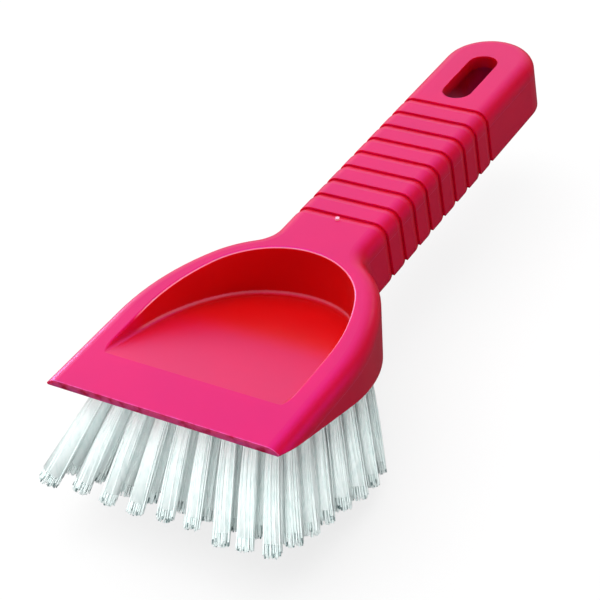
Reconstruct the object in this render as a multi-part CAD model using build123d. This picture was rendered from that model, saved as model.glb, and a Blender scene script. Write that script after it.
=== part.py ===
from build123d import *
import math
import os

# Grout brush: one moulding makes the ribbed handle and a D-shaped block with a scoop in its top,
# and bristle tufts are stapled into the block's sloping underside.
# X runs across the brush, Y from the lip to the handle's end, and Z up from the flat top.
# The origin is the middle of the lip's upper front edge. Lengths are in millimetres, angles in degrees.

# Whole moulding
overall_length = 229.0
top_edge_radius = 5.0
overrun = 5.0
match_tolerance = 0.05

# Block: its walls draw in downwards
block_half_width = 41.4
block_side_length = 37.5
block_rear_centre = 57.3
block_rear_draw_in = 5.4
block_rear_radius = block_half_width - block_rear_draw_in
block_draft = 3.0
block_foot_radius = 0.5
lip_thickness = 2.45
wedge_angle = 16.7

# Scoop in the block's top, with a rim left round it
scoop_side_rim = 9.6
scoop_rear_rim = 8.3
scoop_half_width = block_half_width - scoop_side_rim
scoop_side_length = 41.0
scoop_rear_draw_in = 3.4
scoop_rear_radius = scoop_half_width - scoop_rear_draw_in
scoop_rear_centre = block_rear_centre + block_rear_radius - scoop_rear_rim - scoop_rear_radius
scoop_front = 16.9
scoop_floor_angle = 15.3
scoop_wall_draft = 4.0
scoop_floor_radius = 1.6
scoop_rim_radius = 0.8

# Handle: its walls spread downwards
handle_half_width = 16.5
handle_depth = 19.4
handle_draft = 3.0
neck_radius = 9.0

# Hang slot, with a wider relief below its lip
slot_width = 10.8
slot_length = 30.5
slot_end_margin = 14.6
slot_lip_depth = 4.7
slot_relief = 2.0

# Grip ribs: each is a step that faces the block, with a ramp cut down to its foot
rib_count = 9
rib_block_gap = 13.2
rib_slot_gap = 4.6
first_rib = block_rear_centre + block_rear_radius + rib_block_gap
last_rib = overall_length - slot_end_margin - slot_length - rib_slot_gap
rib_pitch = (last_rib - first_rib) / (rib_count - 1)
rib_step_height = 0.9
rib_ramp_length = 3.4
rib_ramp_middle_share = 0.5
rib_ramp_bulge_share = 0.32
rib_ramp_runout_turn = 3.0

# Gate mark just ahead of the first rib
gate_diameter = 1.4
gate_height = 0.6
gate_setback = 2.9

# Bristle field: tufts lean outwards with their distance from the middle, and more in each row back
row_count = 8
row_tuft_count = 9
last_row_tuft_count = 8
first_row = 15.2
field_rear_margin = 25.551
field_side_margin = 12.88
last_row_inset = 2.12
field_half_width = block_half_width - field_side_margin
last_row = block_rear_centre + block_rear_radius - field_rear_margin
row_pitch = (last_row - first_row) / (row_count - 1)
edge_lean = 18.6
edge_lean_gain = 1.2
forward_lean = 22.6
bristle_length = 38.2
last_row_trim = 1.4

# One tuft: a ring of strands round a middle one, folded over a flat anchor in a blind hole
ring_length_shares = [0.985, 0.97, 0.97, 0.985, 1.0, 1.0]
ring_strand_count = len(ring_length_shares)
strand_width = 1.1
root_ring_radius = 1.32
tip_ring_radius = 2.1
hole_radius = 2.2
hole_depth = 5.2
root_clearance = 0.06
root_inset = 1.3
strand_embed = 0.4
anchor_width = 3.9
anchor_height = 1.8
anchor_thickness = 0.4
fold_thickness = 0.9
anchor_clearance = 0.05


def tangent(angle):
    return math.tan(math.radians(angle))


def closed_outline(right_half, front, rear):
    left_half = [edge.mirror(Plane.YZ) for edge in right_half]
    return make_face(Wire([front] + right_half + [rear] + left_half))


def d_outline(half_width, side_length, rear_centre, rear_radius, front, growth=0):
    # Straight front and sides, a slightly bowed arc on each side, and a round rear, all tangent
    arc_drop = rear_centre - side_length
    draw_in = half_width - rear_radius
    bow_radius = (half_width**2 + arc_drop**2 - rear_radius**2) / (2 * draw_in)
    bow_turn = math.degrees(math.atan2(arc_drop, bow_radius - half_width))
    edge = half_width + growth
    straight = Line((edge, front), (edge, side_length))
    bow = CenterArc((half_width - bow_radius, side_length), bow_radius + growth, 0, bow_turn)
    rear = CenterArc((0, rear_centre), rear_radius + growth, bow_turn, 180 - 2 * bow_turn)
    return closed_outline([straight, bow], Line((-edge, front), (edge, front)), rear)


def block_outline():
    return d_outline(block_half_width, block_side_length, block_rear_centre, block_rear_radius, 0)


def handle_outline():
    end_centre = overall_length - handle_half_width
    side = Line((handle_half_width, block_rear_centre), (handle_half_width, end_centre))
    start = Line((-handle_half_width, block_rear_centre), (handle_half_width, block_rear_centre))
    return closed_outline([side], start, CenterArc((0, end_centre), handle_half_width, 0, 180))


# Sloping planes of the block's underside and of the scoop's floor


def sloping_plane(y, z, angle):
    normal = (0, math.sin(math.radians(angle)), math.cos(math.radians(angle)))
    return Plane(origin=(0, y, z), x_dir=(1, 0, 0), z_dir=normal)


block_depth = lip_thickness + (block_rear_centre + block_rear_radius) * tangent(wedge_angle) + overrun
underside = sloping_plane(0, -lip_thickness, wedge_angle)
scoop_floor = sloping_plane(scoop_front, 0, scoop_floor_angle)
away_from_underside = Axis(origin=(0, 0, 0), direction=underside.z_dir)


def everything_below(plane):
    size = 2 * (overall_length + overrun)
    return plane * Box(size, size, size, align=(Align.CENTER, Align.CENTER, Align.MAX))


def make_shell():
    down = (0, 0, -1)
    shell = extrude(block_outline(), amount=block_depth, dir=down, taper=block_draft)
    shell += extrude(handle_outline(), amount=handle_depth, dir=down, taper=-handle_draft)
    inner_corners = [edge for edge in shell.edges() if is_inner_corner(edge)]
    shell = fillet(inner_corners, radius=neck_radius)
    top_face = shell.faces().sort_by(Axis.Z)[-1]
    rolled_edges = top_face.outer_wire().edges().sort_by(Axis.Y)[1:]
    shell = fillet(rolled_edges, radius=top_edge_radius)
    shell -= everything_below(underside)
    foot_edges = shell.faces().sort_by(away_from_underside)[0].outer_wire().edges().sort_by(Axis.Y)[1:]
    return fillet(foot_edges, radius=block_foot_radius)


def is_inner_corner(edge):
    # The two upright edges where the handle's sides meet the block's round rear
    top, bottom = sorted([edge @ 0, edge @ 1], key=lambda point: -point.Z)
    full_height = abs(top.Z) < match_tolerance and abs(bottom.Z + handle_depth) < match_tolerance
    return full_height and block_rear_centre < top.Y < block_rear_centre + block_rear_radius


def scoop_cutter():
    lift = overrun
    growth = lift * tangent(scoop_wall_draft)
    plan = (scoop_half_width, scoop_side_length, scoop_rear_centre, scoop_rear_radius)
    mouth = Pos(0, 0, lift) * d_outline(*plan, scoop_front - lift, growth)
    hollow = extrude(mouth, amount=lift + block_depth, dir=(0, 0, -1), taper=scoop_wall_draft)
    hollow -= everything_below(scoop_floor)
    floor_face = hollow.faces().sort_by(away_from_underside)[0]
    floor_edges = floor_face.outer_wire().edges().sort_by(Axis.Y)[1:]
    return fillet(floor_edges, radius=scoop_floor_radius)


def cut_scoop(body):
    body -= scoop_cutter()
    top_face = [face for face in body.faces().filter_by(Plane.XY) if abs(face.center().Z) < match_tolerance][0]
    rim = [edge for wire in top_face.inner_wires() for edge in wire.edges()]
    rim = [edge for edge in rim if edge.center().Y > scoop_front + scoop_floor_radius]
    return fillet(rim, radius=scoop_rim_radius)


def rib_cutter(riser):
    # The ramp's section is swept up one side of the handle, over the top and down the other
    bottom = handle_depth + overrun
    flare = bottom * tangent(handle_draft)
    left_foot = (-handle_half_width - flare, riser, -bottom)
    right_foot = (handle_half_width + flare, riser, -bottom)
    corners = [left_foot, (-handle_half_width, riser, 0), (handle_half_width, riser, 0), right_foot]
    path = FilletPolyline(*corners, radius=top_edge_radius)
    middle = (-rib_step_height * rib_ramp_bulge_share, rib_ramp_length * rib_ramp_middle_share)
    foot = Vector(-rib_step_height, 0)
    on_surface = Vector(0, rib_ramp_length)
    centre = ThreePointArc(on_surface, middle, foot).arc_center
    # The ramp runs on a little way out of the surface, so the cut crosses it cleanly
    runout = centre + (on_surface - centre).rotate(Axis.Z, rib_ramp_runout_turn)
    ramp = ThreePointArc(runout, middle, foot)
    rest = Polyline(foot, (rib_step_height, 0), (rib_step_height, runout.Y), runout)
    start = Plane(origin=path @ 0, x_dir=(-1, 0, 0), z_dir=path % 0)
    return sweep(start * make_face(Wire([ramp] + rest.edges())), path=path)


def slot_cutter():
    slot_centre = overall_length - slot_end_margin - slot_length / 2
    mouth = Pos(0, slot_centre, overrun) * Rot(0, 0, 90) * SlotOverall(slot_length, slot_width)
    relief_length = slot_length + 2 * slot_relief
    relief = Rot(0, 0, 90) * SlotOverall(relief_length, slot_width + 2 * slot_relief)
    relief = Pos(0, slot_centre, -slot_lip_depth) * relief
    down = (0, 0, -1)
    through = extrude(mouth, amount=handle_depth + 2 * overrun, dir=down)
    return through + extrude(relief, amount=handle_depth + overrun, dir=down)


# Tufts: their places on the underside, and the direction that each one leans in

forward = Vector(0, -math.cos(math.radians(wedge_angle)), math.sin(math.radians(wedge_angle)))


def tuft_frame(x, row):
    y = first_row + row_pitch * row
    lean = (edge_lean + edge_lean_gain * row) * x / field_half_width
    direction = forward * tangent(forward_lean) + Vector(tangent(lean), 0, 0) - underside.z_dir
    return Plane(origin=(x, y, -lip_thickness - y * tangent(wedge_angle)), x_dir=(1, 0, 0), z_dir=direction)


def row_frames(row):
    count, half_span = row_tuft_count, field_half_width
    if row == row_count - 1:
        count, half_span = last_row_tuft_count, field_half_width - last_row_inset
    pitch = 2 * half_span / (count - 1)
    return [tuft_frame(pitch * index - half_span, row) for index in range(count)]


def upright(radius, low, high):
    return Pos(0, 0, low) * Cylinder(radius, high - low, align=(Align.CENTER, Align.CENTER, Align.MIN))


def anchor_block(clearance):
    width = anchor_width + 2 * clearance
    thickness = anchor_thickness + 2 * clearance
    height = anchor_height + 2 * clearance
    middle = fold_thickness + root_clearance + anchor_height / 2 - hole_depth
    return Pos(0, 0, middle) * Box(width, thickness, height)


def strand(angle, root_radius, tip_radius, length):
    turn = (math.cos(math.radians(angle)), math.sin(math.radians(angle)))
    root = Vector(root_radius * turn[0], root_radius * turn[1], -root_inset - strand_embed)
    tip = Vector(tip_radius * turn[0], tip_radius * turn[1], length)
    run = tip - root
    return extrude(Pos(root) * Rectangle(strand_width, strand_width), amount=run.length, dir=run)


def anchor_window():
    # Open at both sides of the root, so the anchor's bowed ends show in it
    block = anchor_block(anchor_clearance)
    size = block.bounding_box().size
    return Pos(block.center()) * Box(2 * hole_radius, size.Y, size.Z)


def make_tuft(trim):
    root = upright(hole_radius - root_clearance, root_clearance - hole_depth, -root_inset)
    root -= anchor_window()
    length = bristle_length - trim
    strands = [strand(0, 0, 0, length)]
    for index in range(ring_strand_count):
        angle = index * 360 / ring_strand_count
        strands.append(strand(angle, root_ring_radius, tip_ring_radius, length * ring_length_shares[index]))
    return root.fuse(*strands)


def make_body():
    body = cut_scoop(make_shell())
    risers = [first_rib + rib_pitch * index for index in range(rib_count)]
    body -= [rib_cutter(riser) for riser in risers]
    body -= slot_cutter()
    gate = Pos(0, first_rib - gate_setback, -gate_height) * Cylinder(
        gate_diameter / 2, 2 * gate_height, align=(Align.CENTER, Align.CENTER, Align.MIN)
    )
    body += gate
    hole = upright(hole_radius, -hole_depth, overrun)
    holes = [frame * hole for row in range(row_count) for frame in row_frames(row)]
    return body - holes


os.makedirs("parts", exist_ok=True)
export_step(make_body(), "parts/body_moulding.step")

anchor = anchor_block(0)
anchors = []
for row in range(row_count):
    tuft = make_tuft(last_row_trim * row / (row_count - 1))
    frames = row_frames(row)
    export_step(Compound([frame * tuft for frame in frames]), f"parts/tuft_row_{row + 1}.step")
    anchors += [frame * anchor for frame in frames]
export_step(Compound(anchors), "parts/staple_anchors.step")
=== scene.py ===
import math
import random

import bmesh
import bpy
from mathutils import Matrix, Vector


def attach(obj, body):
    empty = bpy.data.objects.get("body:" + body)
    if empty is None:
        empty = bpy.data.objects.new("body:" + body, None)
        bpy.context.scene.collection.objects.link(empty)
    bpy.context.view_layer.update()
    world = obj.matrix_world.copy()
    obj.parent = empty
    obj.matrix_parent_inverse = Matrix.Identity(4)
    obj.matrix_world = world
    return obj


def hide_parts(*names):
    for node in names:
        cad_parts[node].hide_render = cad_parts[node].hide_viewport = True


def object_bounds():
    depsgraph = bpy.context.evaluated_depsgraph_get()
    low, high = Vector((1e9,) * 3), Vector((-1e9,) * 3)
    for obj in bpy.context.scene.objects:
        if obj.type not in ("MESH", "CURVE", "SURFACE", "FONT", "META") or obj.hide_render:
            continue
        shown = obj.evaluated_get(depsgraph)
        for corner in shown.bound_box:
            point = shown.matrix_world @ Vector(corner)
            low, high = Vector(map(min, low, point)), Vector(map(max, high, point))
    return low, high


# Grout brush: the moulding comes from the CAD, and its bristles are made here filament by filament.
# Lengths are in metres and angles in degrees.

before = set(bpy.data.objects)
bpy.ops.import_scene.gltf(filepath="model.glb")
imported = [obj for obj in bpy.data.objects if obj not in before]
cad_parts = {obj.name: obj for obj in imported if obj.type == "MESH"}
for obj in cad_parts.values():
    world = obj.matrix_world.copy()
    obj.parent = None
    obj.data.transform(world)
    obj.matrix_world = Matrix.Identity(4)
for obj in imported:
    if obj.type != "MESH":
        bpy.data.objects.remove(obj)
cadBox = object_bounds()
print("loaded", len(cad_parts), "nodes")

mm = 0.001


def newMaterial(name):
    material = bpy.data.materials.new(name)
    material.use_nodes = True
    nodes, links = material.node_tree.nodes, material.node_tree.links
    nodes.clear()
    output = nodes.new("ShaderNodeOutputMaterial")
    shader = nodes.new("ShaderNodeBsdfPrincipled")
    links.new(shader.outputs["BSDF"], output.inputs["Surface"])
    return material, nodes, links, shader


def feed(links, socket, value):
    # A number or a tuple is set on the socket, and anything else is linked to it
    if isinstance(value, (int, float, tuple)):
        socket.default_value = value
    else:
        links.new(value, socket)


# Each function from here to flatNode makes a node and gives back what the node puts out
def mathNode(nodes, links, operation, first, second=None):
    node = nodes.new("ShaderNodeMath")
    node.operation = operation
    feed(links, node.inputs[0], first)
    if second is not None:
        feed(links, node.inputs[1], second)
    return node.outputs[0]


def vectorNode(nodes, links, operation, first, second):
    node = nodes.new("ShaderNodeVectorMath")
    node.operation = operation
    feed(links, node.inputs[0], first)
    feed(links, node.inputs[1], second)
    return node.outputs["Value"]


def rangeNode(nodes, links, value, fromEnds=(0.0, 1.0), toEnds=(0.0, 1.0), kind="LINEAR"):
    node = nodes.new("ShaderNodeMapRange")
    node.interpolation_type = kind
    node.inputs["From Min"].default_value, node.inputs["From Max"].default_value = fromEnds
    node.inputs["To Min"].default_value, node.inputs["To Max"].default_value = toEnds
    links.new(value, node.inputs["Value"])
    return node.outputs["Result"]


def smoothStep(nodes, links, value, ends):
    return rangeNode(nodes, links, value, ends, kind="SMOOTHSTEP")


def invert(nodes, links, value):
    return mathNode(nodes, links, "SUBTRACT", 1.0, value)


def noiseNode(nodes, links, place, scale, detail=2.0):
    node = nodes.new("ShaderNodeTexNoise")
    node.inputs["Scale"].default_value = scale
    node.inputs["Detail"].default_value = detail
    links.new(place, node.inputs["Vector"])
    return node.outputs["Fac"]


def colourMix(nodes, links, factor, first, second):
    node = nodes.new("ShaderNodeMix")
    node.data_type = "RGBA"
    feed(links, node.inputs["Factor"], factor)
    feed(links, node.inputs["A"], first)
    feed(links, node.inputs["B"], second)
    return node.outputs["Result"]


def bumpNode(nodes, links, height, strength, distance, normal=None):
    node = nodes.new("ShaderNodeBump")
    node.inputs["Strength"].default_value = strength
    node.inputs["Distance"].default_value = distance
    links.new(height, node.inputs["Height"])
    if normal is not None:
        links.new(normal, node.inputs["Normal"])
    return node.outputs["Normal"]


def splitNode(nodes, links, vector):
    node = nodes.new("ShaderNodeSeparateXYZ")
    links.new(vector, node.inputs["Vector"])
    return node.outputs


def flatNode(nodes, links, x, y):
    node = nodes.new("ShaderNodeCombineXYZ")
    links.new(x, node.inputs["X"])
    links.new(y, node.inputs["Y"])
    return node.outputs["Vector"]


# Values that end in Ends, Reach or Depths are where a smooth step starts and stops
moulding = {
    "red": (0.65, 0.004, 0.003, 1.0),
    "deepRed": (0.60, 0.003, 0.002, 1.0),
    "flowScale": 26.0,
    "flowDetail": 3.0,
    "flowEnds": (0.3, 0.7),
    "roughnessRange": (0.31, 0.39),
    "ior": 1.68,
    "shine": 1.0,
    "sheen": (0.7, 0.03, 1.0, 1.0),
    "glow": 0.75,
    "glowDepth": 3.5 * mm,
    "glowSpread": (1.0, 0.1, 0.08),
    "skinScale": 620.0,
    "skinDetail": 4.0,
    "skinBump": 0.02,
    "skinHeight": 0.1 * mm,
    "scoopMiddle": (0.0, 52.0 * mm, 0.0),
    "scoopReach": (33.5 * mm, 37.0 * mm),
    "scoopShadedSheen": (0.5, 0.03, 0.15, 1.0),
    "scoopFloorDepths": (-11.5 * mm, -7.5 * mm),
    "levelEnds": (0.5, 0.9),
    "scoopPaintedHighlight": (0.95, 0.34, 0.48, 1.0),
    "scoopEdgeFirstEnds": (0.3, 0.5),
    "scoopEdgeLastEnds": (0.65, 0.9),
    "scoopRimDepths": (-2.0 * mm, -1.0 * mm),
    "scoopFloorEdge": 0.3,
    "partingPlace": -5.9 * mm,
    "partingEnds": (0.0, 0.16 * mm),
    "partingHighlight": (0.70, 0.05, 0.12, 1.0),
    "partingBump": 0.8,
    "partingHeight": 0.08 * mm,
    "outwardLimit": 6.0 * mm,
    "spineStart": 45.0 * mm,
    "spineEnd": 212.5 * mm,
    "lipHighlightEnds": (0.1 * mm, 0.4 * mm),
    "lipPaintedHighlight": (0.90, 0.12, 0.36, 1.0),
    "lipHighlightScale": 260.0,
    "lipPatchEnds": (0.3, 0.6),
    "gatePlace": (0.0, 103.6 * mm, 0.3 * mm),
    "gateGlintEnds": (0.6 * mm, 1.0 * mm),
    "gatePaintedGlint": (0.90, 0.55, 0.62, 1.0),
}


def scoopMasks(nodes, links, values, spot, upward):
    # Three masks: outside the scoop, on its level and shallow parts, and on its rim and floor line.
    # The first two say where the gloss keeps its pink tint, with painted shade in the gloss elsewhere
    # in the scoop; the last carries a painted highlight
    flat = flatNode(nodes, links, spot["X"], spot["Y"])
    reach = vectorNode(nodes, links, "DISTANCE", flat, values["scoopMiddle"])
    outside = smoothStep(nodes, links, reach, values["scoopReach"])
    level = smoothStep(nodes, links, upward, values["levelEnds"])
    shallow = smoothStep(nodes, links, spot["Z"], values["scoopFloorDepths"])
    skyward = mathNode(nodes, links, "MULTIPLY", level, shallow)
    tilted = smoothStep(nodes, links, upward, values["scoopEdgeFirstEnds"])
    nearlyLevel = smoothStep(nodes, links, upward, values["scoopEdgeLastEnds"])
    tilted = mathNode(nodes, links, "SUBTRACT", tilted, nearlyLevel)
    rim = smoothStep(nodes, links, spot["Z"], values["scoopRimDepths"])
    rim = mathNode(nodes, links, "MAXIMUM", rim, values["scoopFloorEdge"])
    edge = mathNode(nodes, links, "MULTIPLY", tilted, invert(nodes, links, outside))
    edge = mathNode(nodes, links, "MULTIPLY", edge, rim)
    return outside, skyward, edge


def partingMask(nodes, links, values, spot, normal):
    # A fine line round the outer walls, kept off the walls that face the spine along the middle
    spine = mathNode(nodes, links, "MINIMUM", spot["Y"], values["spineEnd"])
    spine = mathNode(nodes, links, "MAXIMUM", spine, values["spineStart"])
    away = flatNode(nodes, links, spot["X"], mathNode(nodes, links, "SUBTRACT", spot["Y"], spine))
    outward = vectorNode(nodes, links, "DOT_PRODUCT", away, normal)
    outer = mathNode(nodes, links, "GREATER_THAN", outward, values["outwardLimit"])
    off = mathNode(nodes, links, "SUBTRACT", spot["Z"], values["partingPlace"])
    off = mathNode(nodes, links, "ABSOLUTE", off)
    line = invert(nodes, links, smoothStep(nodes, links, off, values["partingEnds"]))
    return mathNode(nodes, links, "MULTIPLY", line, outer)


def mouldingMaterial(values):
    material, nodes, links, shader = newMaterial("redMouldedPlastic")
    place = nodes.new("ShaderNodeTexCoord").outputs["Object"]
    normal = nodes.new("ShaderNodeNewGeometry").outputs["Normal"]
    spot = splitNode(nodes, links, place)
    upward = splitNode(nodes, links, normal)["Z"]
    outside, skyward, scoopHighlightLine = scoopMasks(nodes, links, values, spot, upward)
    parting = partingMask(nodes, links, values, spot, normal)

    flow = noiseNode(nodes, links, place, values["flowScale"], values["flowDetail"])
    toned = smoothStep(nodes, links, flow, values["flowEnds"])
    colour = colourMix(nodes, links, toned, values["deepRed"], values["red"])
    # Painted highlight: the parting line is painted paler, over the real seam that its bump draws
    colour = colourMix(nodes, links, parting, colour, values["partingHighlight"])
    # Painted highlight: a pale line along the scoop's rim and where its walls meet the floor
    colour = colourMix(nodes, links, scoopHighlightLine, colour, values["scoopPaintedHighlight"])

    # Painted highlight: the lip's front edge is painted paler in patches, standing in for the sheen it
    # catches
    lipHighlight = invert(nodes, links, smoothStep(nodes, links, spot["Y"], values["lipHighlightEnds"]))
    lipPatches = noiseNode(nodes, links, place, values["lipHighlightScale"])
    lipHighlight = mathNode(nodes, links, "MULTIPLY", lipHighlight, smoothStep(nodes, links, lipPatches, values["lipPatchEnds"]))
    colour = colourMix(nodes, links, lipHighlight, colour, values["lipPaintedHighlight"])

    # Painted glint: a small pale spot on the gate's stub
    fromGate = vectorNode(nodes, links, "DISTANCE", place, values["gatePlace"])
    white = invert(nodes, links, smoothStep(nodes, links, fromGate, values["gateGlintEnds"]))
    colour = colourMix(nodes, links, white, colour, values["gatePaintedGlint"])
    links.new(colour, shader.inputs["Base Color"])

    roughness = rangeNode(nodes, links, flow, toEnds=values["roughnessRange"])
    links.new(roughness, shader.inputs["Roughness"])
    shader.inputs["IOR"].default_value = values["ior"]
    shader.inputs["Specular IOR Level"].default_value = values["shine"]
    shader.inputs["Subsurface Weight"].default_value = values["glow"]
    shader.inputs["Subsurface Scale"].default_value = values["glowDepth"]
    shader.inputs["Subsurface Radius"].default_value = values["glowSpread"]

    # Painted shade in the gloss: its pink tint turns plain red on the scoop's walls and the deep end
    # of its floor
    pink = mathNode(nodes, links, "MAXIMUM", outside, skyward)
    tint = colourMix(nodes, links, pink, values["scoopShadedSheen"], values["sheen"])
    links.new(tint, shader.inputs["Specular Tint"])

    skin = noiseNode(nodes, links, place, values["skinScale"], values["skinDetail"])
    grain = bumpNode(nodes, links, skin, values["skinBump"], values["skinHeight"])
    seam = bumpNode(nodes, links, parting, values["partingBump"], values["partingHeight"], grain)
    links.new(seam, shader.inputs["Normal"])
    return material


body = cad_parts["body_moulding"]
body.data.materials.clear()
body.data.materials.append(mouldingMaterial(moulding))
print("moulding finished")

filament = {
    "radius": 0.24 * mm,
    "sides": 5,
    "bends": [bend * mm for bend in (0.0, 0.1, 0.2, 0.3, 0.45, 0.6)],
    "darkTips": (False, True, False, False, False, False),
    "bulge": 0.7 * mm,
    "cuts": 4,
    "tipShare": 0.97,
    "count": 56,
    "turnStep": 137.508,
    "twist": 0.6,
    "innerShare": 0.35,
    "coreSides": 14,
    "coreInset": 0.3 * mm,
    "coreEnd": 0.9,
    "rootRadius": 1.95 * mm,
    "tipRadius": 2.8 * mm,
    "rootDepth": 3.0 * mm,
    "length": 38.6 * mm,
    "roundOff": 0.7 * mm,
    "lengthSpread": 0.8 * mm,
    "straySpread": 0.1 * mm,
    "streakScale": (900.0, 500.0, 40.0),
    "streakEnds": (0.25, 0.6),
    "white": (0.88, 0.97, 0.96, 1.0),
    "grey": (0.78, 0.90, 0.89, 1.0),
    "roughness": 0.38,
    "cutEnd": (0.16, 0.24, 0.24, 1.0),
    "cutEndPale": (0.55, 0.66, 0.66, 1.0),
    "cutEndScale": 900.0,
    "cutEndEnds": (0.45, 0.75),
    "cutEndRoughness": 0.5,
}

# The front row follows the photograph tuft by tuft, and the rows behind it are drawn from the seed
field = {
    "seed": 7,
    "rows": 8,
    "tufts": 9,
    "lastTufts": 8,
    "halfWidth": 28.52 * mm,
    "lastHalfWidth": 26.4 * mm,
    "rowPitch": 7.507 * mm,
    "firstRow": 15.2 * mm,
    "lipThickness": 2.45 * mm,
    "wedgeAngle": 16.7,
    "edgeLean": 18.6,
    "edgeLeanGain": 1.2,
    "forwardLean": 22.6,
    "strayLean": 0.6,
    "strayForward": 0.3,
    "lastRowTrim": 1.4 * mm,
    "backTrim": 1.2 * mm,
    "backSplay": (1.12, 1.32),
    "frontStray": (-2.7, 0.0, 0.3, 0.7, 1.4, 1.1, 2.0, -1.0, -2.4),
    "frontTrim": [trim * mm for trim in (-1.0, 1.1, 0.8, 1.0, 2.0, 2.1, -0.2, 0.6, 0.9)],
    "frontSplay": (1.35, 1.1, 1.0, 1.0, 1.0, 1.0, 1.0, 1.0, 1.05),
}

# This stands a cone that is one metre high on the origin
standing = Matrix.Translation((0, 0, 0.5))


def bristleMaterial(values):
    material, nodes, links, shader = newMaterial("whiteBristleFilament")
    along = nodes.new("ShaderNodeMapping")
    along.inputs["Scale"].default_value = values["streakScale"]
    links.new(nodes.new("ShaderNodeTexCoord").outputs["Object"], along.inputs["Vector"])
    streak = noiseNode(nodes, links, along.outputs["Vector"], 1.0)
    streak = smoothStep(nodes, links, streak, values["streakEnds"])
    colour = colourMix(nodes, links, streak, values["grey"], values["white"])
    links.new(colour, shader.inputs["Base Color"])
    shader.inputs["Roughness"].default_value = values["roughness"]
    return material


def cutEndMaterial(values):
    material, nodes, links, shader = newMaterial("bristleCutEnd")
    place = nodes.new("ShaderNodeTexCoord").outputs["Object"]
    speck = noiseNode(nodes, links, place, values["cutEndScale"])
    speck = smoothStep(nodes, links, speck, values["cutEndEnds"])
    colour = colourMix(nodes, links, speck, values["cutEnd"], values["cutEndPale"])
    links.new(colour, shader.inputs["Base Color"])
    shader.inputs["Roughness"].default_value = values["cutEndRoughness"]
    return material


def filamentShape(values, bend, darkTip):
    # One filament, a metre long on +Z, bowed towards +X, with a dark cut end in the second material
    near = 0.001
    mesh = bmesh.new()
    bmesh.ops.create_cone(
        mesh,
        cap_ends=True,
        segments=values["sides"],
        radius1=values["radius"],
        radius2=values["radius"],
        depth=1.0,
        matrix=standing,
    )
    uprights = [edge for edge in mesh.edges if edge.verts[0].co.z != edge.verts[1].co.z]
    bmesh.ops.subdivide_edges(mesh, edges=uprights, cuts=values["cuts"], use_grid_fill=True)
    lastCut = values["cuts"] / (values["cuts"] + 1)
    for vertex in mesh.verts:
        if abs(vertex.co.z - lastCut) < near:
            vertex.co.z = values["tipShare"]
        vertex.co.x += bend * vertex.co.z ** 2 + values["bulge"] * math.sin(math.pi * vertex.co.z)
    for face in mesh.faces:
        height = face.calc_center_median().z
        face.smooth = near < height < 1 - near
        face.material_index = 1 if darkTip and height > values["tipShare"] else 0
    shape = bpy.data.meshes.new("filament")
    mesh.to_mesh(shape)
    mesh.free()
    return shape


def rowPlaces(values, row, rng):
    # Each tuft's mouth in the block, its direction, its trim and its splay
    last = row == values["rows"] - 1
    count = values["lastTufts"] if last else values["tufts"]
    halfSpan = values["lastHalfWidth"] if last else values["halfWidth"]
    wedge = math.radians(values["wedgeAngle"])
    down = Vector((0, -math.sin(wedge), -math.cos(wedge)))
    forward = Vector((0, -math.cos(wedge), math.sin(wedge)))
    y = values["firstRow"] + values["rowPitch"] * row
    rowTrim = values["lastRowTrim"] * row / (values["rows"] - 1)
    places = []
    for index in range(count):
        x = halfSpan * (2 * index / (count - 1) - 1)
        lean = (values["edgeLean"] + values["edgeLeanGain"] * row) * x / values["halfWidth"]
        stray = values["frontStray"][index] if row == 0 else rng.gauss(0, values["strayLean"])
        trim = values["frontTrim"][index] if row == 0 else rng.uniform(0, values["backTrim"])
        splay = values["frontSplay"][index] if row == 0 else rng.uniform(*values["backSplay"])
        sideways = Vector((math.tan(math.radians(lean + stray)), 0, 0))
        tilt = math.tan(math.radians(values["forwardLean"] + rng.gauss(0, values["strayForward"])))
        axis = (down + forward * tilt + sideways).normalized()
        mouth = Vector((x, y, -values["lipThickness"] - y * math.tan(wedge)))
        places.append((mouth, axis, rowTrim + trim, splay))
    return places


def lineUp(start, end, turn):
    run = end - start
    return (
        Matrix.Translation(start)
        @ run.to_track_quat("Z", "X").to_matrix().to_4x4()
        @ Matrix.Rotation(turn, 4, "Z")
        @ Matrix.Diagonal((1, 1, run.length, 1))
    )


def addCore(mesh, values, mouth, axis, length, tipRadius):
    # The middle of the bundle, which the outer filaments lie against
    start = mouth - axis * values["rootDepth"]
    end = mouth + axis * length * values["coreEnd"]
    made = bmesh.ops.create_cone(
        mesh,
        cap_ends=True,
        segments=values["coreSides"],
        radius1=values["rootRadius"] - values["coreInset"],
        radius2=tipRadius - values["coreInset"],
        depth=1.0,
        matrix=lineUp(start, end, 0) @ standing,
    )
    faces = {face for vertex in made["verts"] for face in vertex.link_faces}
    for face in faces:
        face.smooth = len(face.verts) == 4


def addTuft(mesh, shapes, values, place, rng):
    mouth, axis, trim, splay = place
    across = Vector((1, 0, 0))
    across = (across - axis * across.dot(axis)).normalized()
    upward = axis.cross(across)
    rootRadius = values["rootRadius"] - values["radius"]
    tipRadius = values["tipRadius"] * splay
    addCore(mesh, values, mouth, axis, values["length"] - values["roundOff"] - trim, tipRadius)
    inner = values["innerShare"] ** 2
    for index in range(values["count"]):
        # The filaments fill a ring evenly, each a fixed turn further round and a little further out
        share = math.sqrt(inner + (1 - inner) * (index + 0.5) / values["count"])
        angle = math.radians(values["turnStep"] * index)
        spot = across * math.cos(angle) + upward * math.sin(angle)
        drift = (across * rng.gauss(0, 1) + upward * rng.gauss(0, 1)) * values["straySpread"]
        root = mouth - axis * values["rootDepth"] + spot * share * rootRadius
        length = values["length"] - trim - values["roundOff"] * share ** 3
        length -= abs(rng.gauss(0, 1)) * values["lengthSpread"]
        tip = mouth + axis * length + spot * share * (tipRadius - values["radius"]) + drift
        shape = rng.choice(shapes).copy()
        shape.transform(lineUp(root, tip, angle + rng.uniform(-values["twist"], values["twist"])))
        mesh.from_mesh(shape)
        bpy.data.meshes.remove(shape)


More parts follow.
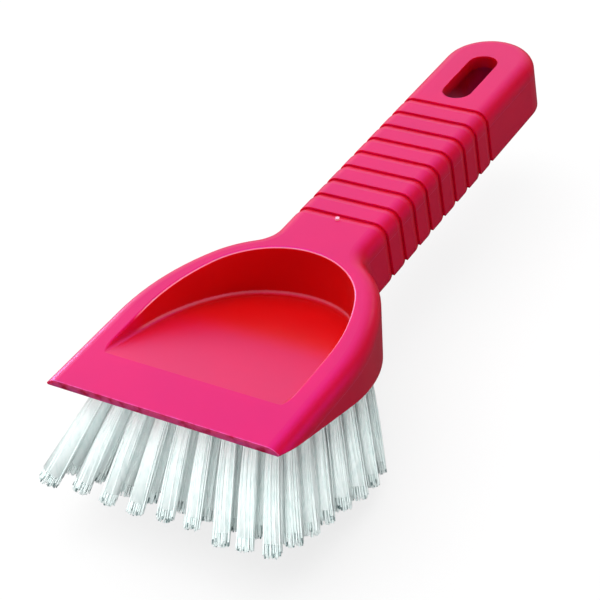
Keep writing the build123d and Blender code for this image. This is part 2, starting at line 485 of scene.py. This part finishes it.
def makeBristles(values, layout):
    shapes = [filamentShape(values, *look) for look in zip(values["bends"], values["darkTips"])]
    materials = [bristleMaterial(values), cutEndMaterial(values)]
    rng = random.Random(layout["seed"])
    made = []
    for row in range(layout["rows"]):
        mesh = bmesh.new()
        for place in rowPlaces(layout, row, rng):
            addTuft(mesh, shapes, values, place, rng)
        data = bpy.data.meshes.new(f"bristleRow{row + 1}")
        mesh.to_mesh(data)
        mesh.free()
        for material in materials:
            data.materials.append(material)
        piece = bpy.data.objects.new(f"bristleRow{row + 1}", data)
        bpy.context.scene.collection.objects.link(piece)
        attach(piece, "root")
        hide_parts(f"tuft_row_{row + 1}")
        made.append(piece)
        print("row", row + 1, "has", len(data.polygons), "faces")
    return made


bristleRows = makeBristles(filament, field)

anchorWire = {
    "steel": (0.52, 0.53, 0.55, 1.0),
    "drawScale": 1500.0,
    "roughnessRange": (0.26, 0.46),
}


def anchorMaterial(values):
    material, nodes, links, shader = newMaterial("anchorWireSteel")
    place = nodes.new("ShaderNodeTexCoord").outputs["Object"]
    drawn = noiseNode(nodes, links, place, values["drawScale"])
    roughness = rangeNode(nodes, links, drawn, toEnds=values["roughnessRange"])
    links.new(roughness, shader.inputs["Roughness"])
    shader.inputs["Base Color"].default_value = values["steel"]
    shader.inputs["Metallic"].default_value = 1.0
    return material


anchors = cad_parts["staple_anchors"]
anchors.data.materials.clear()
anchors.data.materials.append(anchorMaterial(anchorWire))
print("anchors finished")

studio = {
    "white": (1.0, 1.0, 1.0, 1.0),
    "floorSize": 6.0,
    "floorMiddle": 0.1,
    "floorDrop": 0.2 * mm,
    "floorColour": (0.93, 0.93, 0.93, 1.0),
    "floorBounce": (0.12, 0.12, 0.12, 1.0),
    "floorGlow": 0.8,
    "floorRoughness": 0.9,
    "floorShine": 0.1,
    "skyToward": (-0.7, 0.27, 0.64),
    "skyEnds": (0.05, 0.9),
    "skyRange": (0.12, 1.36),
    "aim": (0.0, 0.09, 0.0),
}

lamps = {
    "keyLamp": {"place": (-0.1, -0.05, 1.4), "size": 2.2, "power": 16.5},
    "sideLamp": {"place": (1.3, 0.25, 0.25), "size": 0.8, "power": 7.8, "lights": [body]},
    "rimLamp": {"place": (-1.3, 0.7, 0.26), "size": 0.4, "power": 4.6},
    "bristleLamp": {"place": (0.6, -1.1, 0.2), "size": 1.1, "power": 17.0, "lights": bristleRows},
}


def seenDirectly(nodes, links):
    rays = nodes.new("ShaderNodeLightPath").outputs
    return mathNode(nodes, links, "MAXIMUM", rays["Is Camera Ray"], rays["Is Transmission Ray"])


def shaderMix(nodes, links, factor, first, second):
    node = nodes.new("ShaderNodeMixShader")
    links.new(factor, node.inputs["Fac"])
    links.new(first, node.inputs[1])
    links.new(second, node.inputs[2])
    return node.outputs["Shader"]


def floorMaterial(values):
    # White to the camera, and much darker to the light that bounces off it
    material, nodes, links, shader = newMaterial("palePaperFloor")
    direct = seenDirectly(nodes, links)
    paper = colourMix(nodes, links, direct, values["floorBounce"], values["floorColour"])
    links.new(paper, shader.inputs["Base Color"])
    shader.inputs["Roughness"].default_value = values["floorRoughness"]
    shader.inputs["Specular IOR Level"].default_value = values["floorShine"]
    glow = nodes.new("ShaderNodeEmission")
    glow.inputs["Color"].default_value = values["white"]
    share = mathNode(nodes, links, "MULTIPLY", direct, values["floorGlow"])
    blend = shaderMix(nodes, links, share, shader.outputs["BSDF"], glow.outputs["Emission"])
    output = next(node for node in nodes if node.type == "OUTPUT_MATERIAL")
    links.new(blend, output.inputs["Surface"])
    return material


def makeFloor(values):
    mesh = bmesh.new()
    bmesh.ops.create_grid(mesh, x_segments=1, y_segments=1, size=values["floorSize"] / 2)
    height = cadBox[0][2] - values["floorDrop"]
    bmesh.ops.translate(mesh, verts=mesh.verts, vec=(0, values["floorMiddle"], height))
    data = bpy.data.meshes.new("studioFloor")
    mesh.to_mesh(data)
    mesh.free()
    data.materials.append(floorMaterial(values))
    floor = bpy.data.objects.new("studioFloor", data)
    bpy.context.scene.collection.objects.link(floor)


def makeSky(values):
    # White to the camera, and brighter on one side than on the other to the brush
    world = bpy.data.worlds.new("studioSky")
    bpy.context.scene.world = world
    world.use_nodes = True
    nodes, links = world.node_tree.nodes, world.node_tree.links
    nodes.clear()
    output = nodes.new("ShaderNodeOutputWorld")
    direction = nodes.new("ShaderNodeTexCoord").outputs["Generated"]
    toward = vectorNode(nodes, links, "DOT_PRODUCT", direction, values["skyToward"])
    fall = rangeNode(nodes, links, toward, values["skyEnds"], values["skyRange"])
    sky = nodes.new("ShaderNodeBackground")
    sky.inputs["Color"].default_value = values["white"]
    links.new(fall, sky.inputs["Strength"])
    plain = nodes.new("ShaderNodeBackground")
    plain.inputs["Color"].default_value = values["white"]
    direct = seenDirectly(nodes, links)
    blend = shaderMix(nodes, links, direct, sky.outputs["Background"], plain.outputs["Background"])
    links.new(blend, output.inputs["Surface"])


def makeLamp(name, values, aim):
    lamp = bpy.data.lights.new(name, "AREA")
    lamp.shape = "DISK"
    lamp.size = values["size"]
    lamp.energy = values["power"]
    holder = bpy.data.objects.new(name, lamp)
    holder.location = values["place"]
    holder.rotation_euler = (Vector(aim) - Vector(values["place"])).to_track_quat("-Z", "Y").to_euler()
    bpy.context.scene.collection.objects.link(holder)
    if "lights" in values:
        lit = bpy.data.collections.new(name + "Lights")
        for piece in values["lights"]:
            lit.objects.link(piece)
        holder.light_linking.receiver_collection = lit


makeFloor(studio)
makeSky(studio)
for lampName, lampValues in lamps.items():
    makeLamp(lampName, lampValues, studio["aim"])
print("studio lit")

shot = {
    "place": (0.26795, -0.30487, 0.32982),
    "azimuth": 35.061,
    "elevation": 36.372,
    "roll": -7.622,
    "lens": 110.43,
    "sensorWidth": 36.0,
    "clipStart": 0.01,
    "clipEnd": 20.0,
}


def makeCamera(values):
    turn, rise, roll = (math.radians(values[key]) for key in ("azimuth", "elevation", "roll"))
    back = Vector((math.sin(turn) * math.cos(rise), -math.cos(turn) * math.cos(rise), math.sin(rise)))
    right = Vector((math.cos(turn), math.sin(turn), 0))
    up = back.cross(right)
    rolledRight = right * math.cos(roll) + up * math.sin(roll)
    rolledUp = up * math.cos(roll) - right * math.sin(roll)
    data = bpy.data.cameras.new("photoCamera")
    data.sensor_width = values["sensorWidth"]
    data.lens = values["lens"]
    data.clip_start = values["clipStart"]
    data.clip_end = values["clipEnd"]
    camera = bpy.data.objects.new("photoCamera", data)
    basis = Matrix((rolledRight, rolledUp, back)).transposed().to_4x4()
    camera.matrix_world = Matrix.Translation(values["place"]) @ basis
    bpy.context.scene.collection.objects.link(camera)
    bpy.context.scene.camera = camera


makeCamera(shot)
bpy.context.scene.view_settings.view_transform = "Standard"

print("scene ready")
